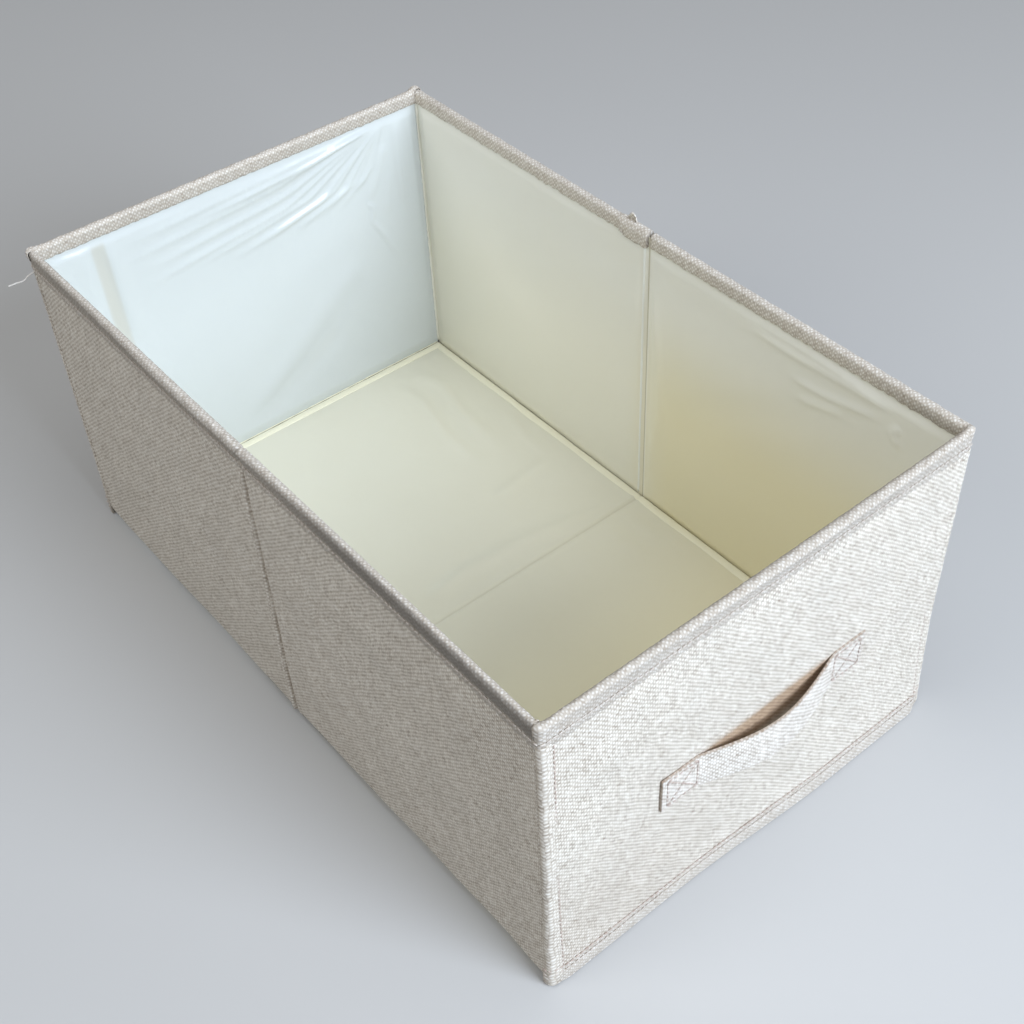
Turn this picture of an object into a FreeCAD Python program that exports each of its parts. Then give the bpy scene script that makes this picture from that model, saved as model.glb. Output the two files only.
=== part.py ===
import FreeCAD, Part
import math
import os

# Collapsible fabric storage box: stiff boards sewn into linen and film, a rim binding,
# a floor panel in two halves and a strap handle on the front end wall.
# Frame: X across the width, Y along the length (front end wall at -Y), Z up.
# The origin is the centre of the floor's underside.

# Overall size
box_width = 280.0
box_length = 460.0
box_height = 210.0

# Layers of a wall, from the outside in
tape_leaf = 0.4
cover_cloth = 0.5
wall_board = 2.4
liner_film = 0.3

# Rim binding, a tape folded over the top edge
tape_bridge = 0.6
binding_outer = 15.0
binding_inner = 8.5
binding_round = 0.35

# Hem tape along the bottom of each end wall
hem_height = 14.0
hem_sole = 0.6

# Rolled seam allowance down each corner of an end wall
welt_width = 1.2
welt_round = 0.5

# Play of each board in its cloth pocket, and the empty cloth below the boards of the long walls
board_play = 0.3
board_foot = 4.0

# Clearances
body_gap = 0.3
floor_side_gap = 0.5
wall_lift = 5.0

# Tape around the edge of the floor panel
floor_tape_width = 5.5

# Half of the gap at the crease of the floor panel
crease_half_gap = 0.2

# Strap handle on the front end wall
strap_length = 144.0
strap_width = 25.0
strap_cloth = 1.8
strap_tab = 25.0
strap_centre_x = 4.0
strap_centre_z = 97.0
strap_stand_off = 0.3
strap_bow = 6.0

# Sizes worked out from the ones above
wall_thickness = tape_leaf + cover_cloth + wall_board + liner_film + tape_leaf
seam_radius = tape_leaf
seam_clear = seam_radius + body_gap
board_v = tape_leaf + cover_cloth
liner_v = board_v + wall_board
inner_v = liner_v + liner_film
half_width = box_width / 2
half_length = box_length / 2
wall_top = box_height - tape_bridge
corner_y = half_length - wall_thickness
floor_half_width = half_width - wall_thickness - floor_side_gap
floor_board = wall_thickness - cover_cloth - liner_film - tape_leaf

END_WALLS = ("front", "back")


def block(x0, x1, y0, y1, z0, z1):
    """A box between two opposite corners given in any order."""
    low = FreeCAD.Vector(min(x0, x1), min(y0, y1), min(z0, z1))
    return Part.makeBox(abs(x1 - x0), abs(y1 - y0), abs(z1 - z0), low)


def slab(side, u0, u1, v0, v1, z0, z1):
    """A box in a wall: u runs along the wall, v from its outer face inwards."""
    if side == "front":
        return block(u0, u1, v0 - half_length, v1 - half_length, z0, z1)
    if side == "back":
        return block(u0, u1, half_length - v0, half_length - v1, z0, z1)
    if side == "left":
        return block(v0 - half_width, v1 - half_width, u0, u1, z0, z1)
    return block(half_width - v0, half_width - v1, u0, u1, z0, z1)


def rounded(shape, radius, wanted):
    """Round the straight edges that the test function picks."""
    edges = [edge for edge in shape.Edges if wanted(edge)]
    return shape.makeFillet(radius, edges)


def save(node, solids):
    """Write one node, a single solid or a group of separate solids."""
    shape = solids[0] if len(solids) == 1 else Part.makeCompound(solids)
    for solid in solids:
        if not solid.isValid():
            raise ValueError(node + " is not a valid solid")
    shape.exportStep("parts/" + node + ".step")


def wall_cover(side, u0, u1, z0, z1):
    """Outer cloth: the face and its returns around the board, open at the rim."""
    face = slab(side, u0, u1, tape_leaf, liner_v, z0, z1)
    pocket = slab(side, u0 + cover_cloth, u1 - cover_cloth, board_v, liner_v, z0 + cover_cloth, z1)
    return face.cut(pocket)


def wall_stiffener(side, u0, u1, z0, z1):
    """Board in the pocket of the cover."""
    inset = cover_cloth + board_play
    return slab(side, u0 + inset, u1 - inset, board_v, liner_v, z0 + inset, z1 - board_play)


def wall_liner(side, u0, u1, z0, z1):
    """Film on the inside, which closes the pocket."""
    return slab(side, u0, u1, liner_v, inner_v, z0, z1)


def rim_binding(side, u0, u1, end_cut):
    """Tape over the rim; its inner leaf stops end_cut short of each end."""
    outer = slab(side, u0, u1, 0, tape_leaf, box_height - binding_outer, wall_top)
    bridge = slab(side, u0, u1, 0, wall_thickness, wall_top, box_height)
    inner_foot = box_height - binding_inner
    inner = slab(side, u0 + end_cut, u1 - end_cut, inner_v, wall_thickness, inner_foot, wall_top)
    tape = outer.fuse([bridge, inner]).removeSplitter()

    def on_top(edge):
        box = edge.BoundBox
        long_enough = max(box.XLength, box.YLength) > wall_thickness * 2
        return long_enough and box.ZMin > box_height - 0.01

    return rounded(tape.Solids[0], binding_round, on_top)


def bottom_hem(side):
    """Tape under an end wall, with a tall outer leaf and a short inner one."""
    outer = slab(side, -half_width, half_width, 0, tape_leaf, hem_sole, hem_height)
    sole = slab(side, -half_width, half_width, 0, wall_thickness, 0, hem_sole)
    inner_top = wall_thickness - seam_radius
    inner = slab(side, -floor_half_width, floor_half_width, inner_v, wall_thickness, hem_sole, inner_top)
    return outer.fuse([sole, inner]).removeSplitter().Solids[0]


def corner_welt(side, end):
    """Rolled seam allowance at one end of an end wall; end is -1 or 1."""
    welt = slab(side, end * half_width, end * (half_width - welt_width), tape_leaf, inner_v, hem_sole, wall_top)

    def on_outside(edge):
        box = edge.BoundBox
        upright = box.ZLength > wall_thickness
        return upright and abs(abs(box.Center.x) - half_width) < 0.01

    return rounded(welt, welt_round, on_outside)


def upright_seam(x, y, z0, z1):
    """Seam roll that a wall turns about."""
    return Part.makeCylinder(seam_radius, z1 - z0, FreeCAD.Vector(x, y, z0))


def floor_seam(side):
    """Seam roll along the foot of an end wall that the floor panel turns about."""
    y = corner_y if side == "back" else -corner_y
    start = FreeCAD.Vector(-floor_half_width, y, wall_thickness)
    return Part.makeCylinder(seam_radius, 2 * floor_half_width, start, FreeCAD.Vector(1, 0, 0))


def build_end_wall(side):
    """Board, cover, liner, binding, hem, welts and seams of the front or back wall."""
    y = corner_y if side == "back" else -corner_y
    u = half_width - welt_width
    save(side + "_board", [wall_stiffener(side, -u, u, hem_sole, wall_top)])
    save(side + "_outer_cover", [wall_cover(side, -u, u, hem_sole, wall_top)])
    save(side + "_liner", [wall_liner(side, -u, u, hem_sole, wall_top)])
    save(side + "_rim_binding", [rim_binding(side, -half_width, half_width, welt_width)])
    save(side + "_bottom_hem", [bottom_hem(side)])
    save(side + "_corner_welts", [corner_welt(side, end) for end in (-1, 1)])
    seams = [upright_seam(end * half_width, y, wall_lift, wall_top) for end in (-1, 1)]
    save(side + "_corner_seams", seams)
    save(side + "_floor_seam", [floor_seam(side)])


def build_long_wall(side):
    """Front and back halves of the left or right wall, and the seam between them."""
    spans = {
        "front": (-corner_y + seam_clear, -seam_radius),
        "back": (seam_clear, corner_y - seam_clear),
    }
    for half, (u0, u1) in spans.items():
        name = side + "_" + half
        foot = wall_lift + board_foot
        save(name + "_board", [wall_stiffener(side, u0, u1, foot, wall_top)])
        save(name + "_outer_cover", [wall_cover(side, u0, u1, wall_lift, wall_top)])
        save(name + "_liner", [wall_liner(side, u0, u1, wall_lift, wall_top)])
        save(name + "_rim_binding", [rim_binding(side, u0, u1, 0)])
    fold_x = half_width - wall_thickness
    x = -fold_x if side == "left" else fold_x
    save(side + "_fold_seam", [upright_seam(x, 0, wall_lift, wall_top)])


def build_floor_half(half):
    """One half of the floor panel, from its wall end to the crease."""
    turn = -1 if half == "front" else 1
    wall_end = turn * (corner_y - seam_clear)
    crease = turn * crease_half_gap
    x = floor_half_width
    film_z = cover_cloth + floor_board
    tape_z = film_z + liner_film
    side_x = x - tape_leaf

    tray = block(-side_x, side_x, wall_end, crease, 0, film_z)
    pocket_end = wall_end - turn * cover_cloth
    pocket_crease = crease + turn * cover_cloth
    pocket_x = side_x - cover_cloth
    pocket = block(-pocket_x, pocket_x, pocket_end, pocket_crease, cover_cloth, film_z)
    save("floor_" + half + "_under_cover", [tray.cut(pocket)])

    board_x = pocket_x - board_play
    board_end = pocket_end - turn * board_play
    board_crease = pocket_crease + turn * board_play
    board = block(-board_x, board_x, board_end, board_crease, cover_cloth, film_z)
    save("floor_" + half + "_board", [board])

    film = block(-side_x, side_x, wall_end, crease, film_z, tape_z)
    save("floor_" + half + "_liner", [film])

    top = block(-x, x, wall_end, crease, tape_z, wall_thickness)
    window_x = x - floor_tape_width
    window_end = wall_end - turn * floor_tape_width
    top = top.cut(block(-window_x, window_x, window_end, crease, tape_z, wall_thickness))
    sides = [block(end * side_x, end * x, wall_end, crease, cover_cloth, tape_z) for end in (-1, 1)]
    tape = top.fuse(sides).removeSplitter()
    save("floor_" + half + "_edge_tape", tape.Solids)


def arc_edge(centre, radius, middle_angle, half_turn):
    """Arc in plan about a centre, from one side of its middle angle to the other."""
    points = []
    for angle in (middle_angle - half_turn, middle_angle, middle_angle + half_turn):
        x = centre[0] + radius * math.cos(angle)
        y = centre[1] + radius * math.sin(angle)
        points.append(FreeCAD.Vector(x, y, 0))
    return Part.Arc(*points).toShape()


def strap_span():
    """Free span of the strap: it leaves the wall, bows out and comes back."""
    span = strap_length - 2 * strap_tab - 2 * body_gap
    turn = 2 * math.atan(2 * strap_bow / span)
    bend = span / (4 * math.sin(turn))
    wall_y = tape_leaf - half_length - strap_stand_off
    edges = []
    for depth in (0, strap_cloth):
        foot_radius = bend - depth
        crown_radius = bend + depth
        foot_y = wall_y - bend
        crown_y = wall_y - strap_bow + bend
        for end in (-1, 1):
            foot = (strap_centre_x + end * span / 2, foot_y)
            lean = math.pi / 2 + end * turn / 2
            edges.append(arc_edge(foot, foot_radius, lean, turn / 2))
        edges.append(arc_edge((strap_centre_x, crown_y), crown_radius, -math.pi / 2, turn))
    for end in (-1, 1):
        x = strap_centre_x + end * span / 2
        near = FreeCAD.Vector(x, wall_y, 0)
        far = FreeCAD.Vector(x, wall_y - strap_cloth, 0)
        edges.append(Part.makeLine(near, far))
    outline = Part.Wire(Part.__sortEdges__(edges))
    band = Part.Face(outline).extrude(FreeCAD.Vector(0, 0, strap_width))
    band.translate(FreeCAD.Vector(0, 0, strap_centre_z - strap_width / 2))
    return band


def build_handle():
    """Strap handle: two sewn ends on the front wall and the free span between them."""
    tabs = []
    for end in (-1, 1):
        far = strap_centre_x + end * strap_length / 2
        near = far - end * strap_tab
        z0 = strap_centre_z - strap_width / 2
        tabs.append(slab("front", near, far, tape_leaf - strap_cloth, tape_leaf, z0, z0 + strap_width))
    save("handle_sewn_ends", tabs)
    save("handle_strap", [strap_span()])


os.makedirs("parts", exist_ok=True)
for wall in END_WALLS:
    build_end_wall(wall)
for wall in ("left", "right"):
    build_long_wall(wall)
for part in ("front", "back"):
    build_floor_half(part)
build_handle()
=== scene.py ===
"""Fabric storage box: the visual model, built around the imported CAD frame. Metres throughout."""

import math

import bmesh
import bpy
import numpy as np
from mathutils import Matrix, Vector


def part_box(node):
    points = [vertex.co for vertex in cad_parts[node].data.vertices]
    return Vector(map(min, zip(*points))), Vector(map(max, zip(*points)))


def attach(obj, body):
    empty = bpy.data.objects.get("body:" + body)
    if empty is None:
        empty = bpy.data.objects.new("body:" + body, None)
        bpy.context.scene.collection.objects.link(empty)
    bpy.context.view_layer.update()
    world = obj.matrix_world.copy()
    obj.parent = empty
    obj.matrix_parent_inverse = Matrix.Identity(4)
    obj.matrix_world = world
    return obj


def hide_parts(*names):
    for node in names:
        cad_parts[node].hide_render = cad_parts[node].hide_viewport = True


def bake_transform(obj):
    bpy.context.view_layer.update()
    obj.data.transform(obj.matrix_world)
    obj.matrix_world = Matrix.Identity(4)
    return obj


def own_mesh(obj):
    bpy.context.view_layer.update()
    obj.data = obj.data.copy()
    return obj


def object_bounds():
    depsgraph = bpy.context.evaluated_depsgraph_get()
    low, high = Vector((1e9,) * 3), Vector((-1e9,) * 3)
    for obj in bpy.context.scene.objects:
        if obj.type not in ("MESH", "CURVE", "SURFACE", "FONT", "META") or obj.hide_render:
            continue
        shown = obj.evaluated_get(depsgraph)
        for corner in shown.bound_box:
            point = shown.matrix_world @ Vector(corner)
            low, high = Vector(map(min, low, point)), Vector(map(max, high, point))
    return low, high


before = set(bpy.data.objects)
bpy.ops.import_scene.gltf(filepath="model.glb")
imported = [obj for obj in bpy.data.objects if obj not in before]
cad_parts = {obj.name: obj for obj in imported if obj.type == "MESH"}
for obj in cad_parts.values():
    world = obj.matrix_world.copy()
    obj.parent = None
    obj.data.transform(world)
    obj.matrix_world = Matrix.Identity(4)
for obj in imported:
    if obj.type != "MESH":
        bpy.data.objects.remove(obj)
cad_low, cad_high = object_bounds()

# Sizes read from the frame. "Depth" is measured from the outer face of a wall inwards.
half_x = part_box("front_rim_binding")[1].x
half_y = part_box("back_rim_binding")[1].y
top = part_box("front_rim_binding")[1].z
wall_depth = half_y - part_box("back_rim_binding")[0].y
cover_depth = half_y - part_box("back_outer_cover")[1].y
board_depth = half_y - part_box("back_board")[1].y
liner_back = half_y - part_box("back_liner")[1].y
liner_depth = half_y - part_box("back_liner")[0].y
end_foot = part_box("front_outer_cover")[0].z
side_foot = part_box("left_front_outer_cover")[0].z
outer_leaf_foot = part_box("front_rim_binding")[0].z
hem_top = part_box("front_bottom_hem")[1].z
corner_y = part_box("front_rim_binding")[1].y
side_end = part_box("left_front_outer_cover")[0].y - 0.0005
floor_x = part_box("floor_front_edge_tape")[1].x
floor_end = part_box("floor_front_edge_tape")[0].y
floor_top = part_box("floor_front_edge_tape")[1].z
film_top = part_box("floor_front_liner")[1].z
film_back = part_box("floor_front_liner")[0].z
under_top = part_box("floor_front_board")[0].z
tab_low, tab_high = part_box("handle_sewn_ends")
span_low, span_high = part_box("handle_strap")

# Sizes of cloth details, measured on the photograph
inner_leaf = 0.0085
stitch_drop = 0.0100
roll_proud = 0.0012
warp_pitch = 0.00155
weft_pitch = 0.00138
tape_warp_pitch = 0.00140
tape_weft_pitch = 0.00137
stitch_pitch = 0.0032
stitch_long = 0.0024
stitch_thick = 0.00042
welt_wide = 0.0045
tape_wide = 0.0055
tape_shoulder = 0.003
corner_run = half_x - wall_depth
cover_top = top - 0.0028
side_hang = 0.0037
weave_turn = 0.03
inner_foot = top - inner_leaf
turn_end = corner_run + wall_depth
stitch_line = top - stitch_drop
shoulder = top - 0.0024
lower_row = 0.0110

rng = np.random.default_rng(7)


# Small shape tools


def smooth(x):
    """0 below 0, 1 above 1, and a soft step between."""
    x = np.clip(x, 0.0, 1.0)
    return x * x * (3.0 - 2.0 * x)


def bump(x, centre, width):
    """A soft hump of height 1."""
    return np.exp(-(((x - centre) / width) ** 2))


def waves(u, t, seed, size, count=7):
    """Gentle uneven waves about size across, between about -1 and 1."""
    made = np.random.default_rng(seed)
    total = np.zeros_like(u + t)
    for _ in range(count):
        angle = made.uniform(0, 2 * math.pi)
        scale = 2 * math.pi / (size * made.uniform(0.7, 1.6))
        phase = made.uniform(0, 2 * math.pi)
        total += np.sin((u * math.cos(angle) + t * math.sin(angle)) * scale + phase)
    return total / math.sqrt(count)


def crease(u, t, points, width, height, taper=1.0):
    """A soft ridge along a smooth line through points, fading at both ends."""
    points = np.array(points, float)
    knots = np.linspace(0, 1, len(points))
    run = np.linspace(0, 1, 70)
    bent = np.stack([np.interp(run, knots, points[:, i]) for i in (0, 1)], 1)
    for _ in range(6):
        bent[1:-1] = (bent[:-2] + 2 * bent[1:-1] + bent[2:]) / 4
    near = np.full(u.shape, 1e9)
    where = np.zeros(u.shape)
    for k in range(len(run)):
        away = (u - bent[k, 0]) ** 2 + (t - bent[k, 1]) ** 2
        closer = away < near
        near = np.where(closer, away, near)
        where = np.where(closer, run[k], where)
    wide = width * (1 + (taper - 1) * where)
    fade = smooth(where / 0.18) * smooth((1 - where) / 0.25)
    return height * fade * np.exp(-near / wide**2)


def creases(u, t, *each):
    """The sum of several creases, each given as its points, width, height and perhaps taper."""
    return sum((crease(u, t, *one) for one in each), 0 * u)


def stations(start, end, step, fine=()):
    """Places from start to end, closer together at the ends and around each fine place."""
    made = list(np.linspace(start, end, max(2, int(round(abs(end - start) / step)) + 1)))
    extra = (0.0003, 0.0007, 0.0012)
    made += [start + x for x in extra] + [end - x for x in extra]
    for middle in fine:
        for x in (0.0, 0.0004, 0.0008, 0.0013, 0.0019, 0.0027, 0.0038):
            made += [middle - x, middle + x]
    made = sorted(x for x in made if start <= x <= end)
    closest = 0.00018
    kept = [made[0]]
    for x in made[1:-1]:
        if x - kept[-1] > closest and end - x > closest:
            kept.append(x)
    return np.array(kept + [end])


def place(side, u, v, t):
    """Points at u along a wall, v in from its outer face, and t up."""
    u, v, t = np.broadcast_arrays(u, v, t)
    if side == "front":
        return np.stack([u, v - half_y, t], -1)
    if side == "back":
        return np.stack([u, half_y - v, t], -1)
    if side == "left":
        return np.stack([v - half_x, u, t], -1)
    if side == "right":
        return np.stack([half_x - v, u, t], -1)
    return np.stack([u, t, v], -1)


def place_round(side, along, v, t):
    """As place, on an end wall whose cloth turns round both its corners past corner_run."""
    flat = np.clip(along, -corner_run, corner_run)
    turn = np.clip((along - flat) / wall_depth, -1, 1) * math.pi / 2
    square = (np.abs(np.sin(turn)) ** 3 + np.abs(np.cos(turn)) ** 3) ** (-1 / 3)
    reach = (wall_depth - v) * square
    return place(side, flat + reach * np.sin(turn), wall_depth - reach * np.cos(turn), t)


def quads(ids):
    """The faces between a grid of point numbers."""
    corners = [ids[:-1, :-1], ids[1:, :-1], ids[1:, 1:], ids[:-1, 1:]]
    return np.stack(corners, -1).reshape(-1, 4)


def ring(ids):
    """The numbers round the border of a grid, in order."""
    return np.concatenate([ids[0, :-1], ids[:-1, -1], ids[-1, :0:-1], ids[:0:-1, 0]])


def joined(loops):
    """The faces between loops of equal length, each joined to the next."""
    made = []
    for a, b in zip(loops[:-1], loops[1:]):
        made.append(np.stack([a, np.roll(a, -1), np.roll(b, -1), b], -1))
    return np.concatenate(made)


def make_piece(name, points, faces, cloth, material, sharp=None):
    """A mesh object. cloth holds where each point lies on its flat cloth, and a third value for painted
    shade and some soiling.
    """
    mesh = bpy.data.meshes.new(name)
    mesh.from_pydata(points.reshape(-1, 3).tolist(), [], faces)
    layer = mesh.attributes.new("cloth", "FLOAT_VECTOR", "POINT")
    layer.data.foreach_set("vector", np.asarray(cloth, dtype=np.float32).reshape(-1))
    made = bmesh.new()
    made.from_mesh(mesh)
    bmesh.ops.recalc_face_normals(made, faces=made.faces)
    made.to_mesh(mesh)
    made.free()
    mesh.shade_smooth()
    if sharp:
        mesh.set_sharp_from_angle(angle=math.radians(sharp))
    piece = bpy.data.objects.new(name, mesh)
    bpy.context.scene.collection.objects.link(piece)
    mesh.materials.append(material)
    return piece


def shell(name, seen, hidden, cloth, material):
    """Two grids of points of the same size, joined round their borders into one closed sheet."""
    rows, columns = seen.shape[:2]
    front = np.arange(rows * columns).reshape(rows, columns)
    back = front + rows * columns
    faces = np.concatenate([quads(front), quads(back), joined([ring(front), ring(back)])])
    points = np.concatenate([seen.reshape(-1, 3), hidden.reshape(-1, 3)])
    both = np.concatenate([cloth.reshape(-1, 3)] * 2)
    return make_piece(name, points, faces.tolist(), both, material)


def run_along(line):
    """How far along a line of points each point lies."""
    return np.concatenate([[0], np.cumsum(np.linalg.norm(np.diff(line, axis=0), axis=1))])


def tube(name, line, radius, material, sides=8):
    """A round thread or bead along a line of points; radius is one number or one per point."""
    line = np.asarray(line, float)
    radius = np.broadcast_to(radius, len(line))
    along = np.gradient(line, axis=0)
    along /= np.linalg.norm(along, axis=1)[:, None]
    hint = np.where(np.abs(along[:, 2:3]) > 0.8, [[1.0, 0, 0]], [[0, 0, 1.0]])
    side = np.cross(along, hint)
    side /= np.linalg.norm(side, axis=1)[:, None]
    other = np.cross(along, side)
    angle = np.linspace(0, 2 * math.pi, sides, endpoint=False)
    around = side[:, None] * np.cos(angle)[:, None] + other[:, None] * np.sin(angle)[:, None]
    points = line[:, None] + around * radius[:, None, None]
    ids = np.arange(len(line) * sides).reshape(len(line), sides)
    faces = joined(list(ids)).tolist() + [ids[0].tolist(), ids[-1].tolist()]
    cloth = np.zeros((len(line), sides, 3))
    cloth[:, :, 0] = run_along(line)[:, None]
    cloth[:, :, 1] = 0.5 * weft_pitch + angle[None] * radius[:, None]
    return make_piece(name, points, faces, cloth, material)


def stitches(name, places, ways, outs, material):
    """A row of sewn stitches: one rounded grain of thread at each place, half sunk in the cloth."""
    along = np.array([-0.5, -0.38, -0.15, 0.15, 0.38, 0.5])
    fullness = np.array([0.25, 0.8, 1.0, 1.0, 0.8, 0.25])
    angle = np.linspace(0, 2 * math.pi, 6, endpoint=False)
    unit = np.arange(len(along) * len(angle)).reshape(len(along), len(angle))
    body = joined(list(unit))
    points = []
    faces = []
    for k in range(len(places)):
        way = ways[k] / np.linalg.norm(ways[k])
        out = outs[k] - way * np.dot(way, outs[k])
        out /= np.linalg.norm(out)
        side = np.cross(way, out)
        size = 1 + 0.12 * rng.standard_normal()
        lean = 0.08 * rng.standard_normal()
        turned = way + lean * side
        for x, full in zip(along, fullness):
            sink = stitch_thick * (0.25 - 1.1 * abs(x) ** 2)
            middle = places[k] + turned * x * stitch_long + out * sink
            for a in angle:
                spread = side * math.cos(a) + out * math.sin(a) * 0.8
                points.append(middle + spread * stitch_thick * full * size)
        first = unit.size * k
        faces += (body + first).tolist() + [(unit[0] + first).tolist(), (unit[-1] + first).tolist()]
    points = np.array(points)
    cloth = np.zeros_like(points)
    cloth[:, 0] = np.arange(len(points)) * 0.0001
    return make_piece(name, points, faces, cloth, material)


def stitch_row(name, body, line, outward, material, pitch=stitch_pitch):
    """Stitches at even steps along a line of points, on a surface of this body that faces outward."""
    line = np.asarray(line, float)
    outward = np.broadcast_to(np.asarray(outward, float), line.shape)
    run = run_along(line)
    count = max(2, int(run[-1] / pitch))
    at = (np.arange(count) + 0.5) / count * run[-1]
    near = 0.0005
    places, ahead, behind = (
        np.stack([np.interp(at + step, run, line[:, i]) for i in range(3)], 1) for step in (0.0, near, -near)
    )
    outs = np.stack([np.interp(at, run, outward[:, i]) for i in range(3)], 1)
    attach(stitches(name, places, ahead - behind, outs, material), body)


# Materials


class Tree:
    """A short way of writing a material's nodes."""

    def __init__(self, name):
        self.material = bpy.data.materials.new(name)
        self.material.use_nodes = True
        self.nodes = self.material.node_tree.nodes
        self.links = self.material.node_tree.links
        self.shader = self.nodes["Principled BSDF"]

    def feed(self, socket, value):
        """Links a socket to another node's output, or gives it a value of its own."""
        if isinstance(value, bpy.types.NodeSocket):
            self.links.new(value, socket)
        else:
            socket.default_value = value

    def set(self, node, **values):
        for key, value in values.items():
            self.feed(node.inputs[key.replace("_", " ")], value)

    def cloth(self):
        """Where the point lies on its flat cloth: along, across, and a third value for painted shade and
        some soiling.
        """
        node = self.nodes.new("ShaderNodeAttribute")
        node.attribute_name = "cloth"
        return node.outputs["Vector"]

    def place(self):
        return self.nodes.new("ShaderNodeTexCoord").outputs["Object"]

    def split(self, vector):
        node = self.nodes.new("ShaderNodeSeparateXYZ")
        self.links.new(vector, node.inputs[0])
        return node.outputs

    def join(self, x, y, z=0.0):
        node = self.nodes.new("ShaderNodeCombineXYZ")
        for socket, value in zip(node.inputs, (x, y, z)):
            self.feed(socket, value)
        return node.outputs[0]

    def math(self, operation, *values):
        node = self.nodes.new("ShaderNodeMath")
        node.operation = operation
        for socket, value in zip(node.inputs, values):
            self.feed(socket, value)
        return node.outputs[0]

    def times(self, a, b):
        return self.math("MULTIPLY", a, b)

    def add(self, value, share, base):
        """base and that share of value."""
        return self.math("MULTIPLY_ADD", value, share, base)

    def centred(self, value):
        """A noise, moved so that it lies about 0."""
        return self.math("SUBTRACT", value, 0.5)

    def noise(self, vector, scale, detail=2.0, rough=0.5):
        node = self.nodes.new("ShaderNodeTexNoise")
        self.set(node, Vector=vector, Scale=scale, Detail=detail, Roughness=rough)
        return node.outputs["Fac"]

    def span(self, value, low, high, to_low, to_high):
        """value carried from low..high to to_low..to_high, held at both ends."""
        node = self.nodes.new("ShaderNodeMapRange")
        self.links.new(value, node.inputs[0])
        for socket, number in zip(node.inputs[1:5], (low, high, to_low, to_high)):
            socket.default_value = number
        return node.outputs[0]

    def ramp(self, value, *stops):
        node = self.nodes.new("ShaderNodeValToRGB")
        self.links.new(value, node.inputs[0])
        points = node.color_ramp.elements
        while len(points) < len(stops):
            points.new(0.5)
        for point, (position, colour) in zip(points, stops):
            point.position = position
            point.color = (*colour, 1.0)
        return node.outputs[0]

    def mix(self, amount, a, b, blend="MIX"):
        node = self.nodes.new("ShaderNodeMix")
        node.data_type = "RGBA"
        node.blend_type = blend
        self.feed(node.inputs[0], amount)
        for socket, value in ((node.inputs[6], a), (node.inputs[7], b)):
            self.feed(socket, (*value, 1.0) if isinstance(value, tuple) else value)
        return node.outputs[2]

    def bumped(self, height, distance, strength=1.0, normal=None):
        node = self.nodes.new("ShaderNodeBump")
        self.set(node, Height=height, Distance=distance, Strength=strength)
        if normal:
            self.links.new(normal, node.inputs["Normal"])
        return node.outputs[0]


def yarn_count(tree, s, t, pitches):
    """Where a point lies, counted in warp and in weft yarns, which wander and stray a little."""
    drift_s = tree.centred(tree.noise(tree.join(s, t), 70.0, 3.0))
    drift_t = tree.centred(tree.noise(tree.join(t, s, 3.1), 80.0, 3.0))
    a = tree.add(drift_s, 1.5, tree.math("DIVIDE", s, pitches[0]))
    b = tree.add(drift_t, 1.5, tree.math("DIVIDE", t, pitches[1]))
    row = tree.join(tree.times(tree.math("FLOOR", b), 1.7), tree.times(a, 0.30))
    column = tree.join(tree.times(b, 0.30), tree.times(tree.math("FLOOR", a), 1.7), 5.0)
    stray_a = tree.centred(tree.noise(row, 1.0, 1.0))
    stray_b = tree.centred(tree.noise(column, 1.0, 1.0))
    return tree.add(stray_a, 0.7, a), tree.add(stray_b, 0.7, b)


def weave_height(tree, s, t, a, b, fuzz):
    """The cloth's relief: weft floats over warp floats, slubs along the yarns, and loose fibre."""
    x = tree.math("SINE", tree.times(a, math.pi))
    y = tree.math("SINE", tree.times(b, math.pi))
    long_x = tree.math("POWER", tree.math("ABSOLUTE", x), 0.6)
    floats = tree.times(tree.times(tree.math("SIGN", x), long_x), y)
    yarns_up = tree.add(tree.math("ABSOLUTE", y), 0.3, long_x)
    slub_a = tree.noise(tree.join(tree.math("FLOOR", a), tree.times(b, 0.15)), 1.7, 2.0)
    slub_b = tree.noise(tree.join(tree.times(a, 0.24), tree.math("FLOOR", b), 7.0), 1.7, 2.0)
    fibre = tree.noise(tree.join(tree.times(s, 2.2), tree.times(t, 2.2)), 1300.0, 3.0)
    height = tree.add(yarns_up, 0.22, tree.add(floats, 0.19, 0.39))
    height = tree.add(tree.centred(slub_a), 0.48, height)
    height = tree.add(tree.centred(slub_b), 0.45, height)
    return tree.add(tree.centred(fibre), 0.16 + fuzz, height)


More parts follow.
